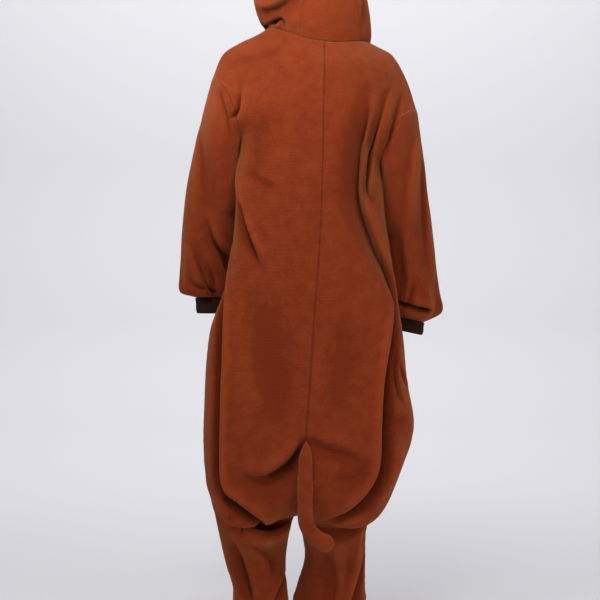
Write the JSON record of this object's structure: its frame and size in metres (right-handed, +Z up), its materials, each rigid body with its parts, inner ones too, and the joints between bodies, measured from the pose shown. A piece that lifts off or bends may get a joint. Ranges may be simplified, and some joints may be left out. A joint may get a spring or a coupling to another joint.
{
  "type": "hooded fleece onesie",
  "caption": "Hooded fleece onesie with round ears, a stuffed tail, long sleeves, a dropped crotch, ribbed cuffs and a buttoned front, standing open as when worn.",
  "frame": {"origin": "between the shoulders at the base of the neck, in the upright plane through the shoulders, where the wearer holds the garment up", "axes": "+Z up from the cuffs to the hood, +X to the wearer's left, -Y the way the front faces"},
  "size_m": [0.6387, 0.3564, 1.73],
  "materials": {
    "fleece": "rust-brown fleece with a short nap",
    "rib": "dark brown rib knit",
    "button": "moulded dark brown, satin"
  },
  "bodies": {
    "root": {"back_left": "fleece", "back_right": "fleece", "front_left": "fleece", "front_right": "fleece", "sleeve_left": "fleece", "sleeve_right": "fleece", "hood_left": "fleece", "hood_centre": "fleece", "hood_right": "fleece", "ear_left": "fleece", "ear_right": "fleece", "tail": "fleece", "placket": "fleece", "sleeve_cuff_left": "rib", "sleeve_cuff_right": "rib", "leg_cuff_left": "rib", "leg_cuff_right": "rib", "button_1": "button", "button_2": "button", "button_3": "button", "button_4": "button", "button_5": "button"}
  },
  "joints": []
}
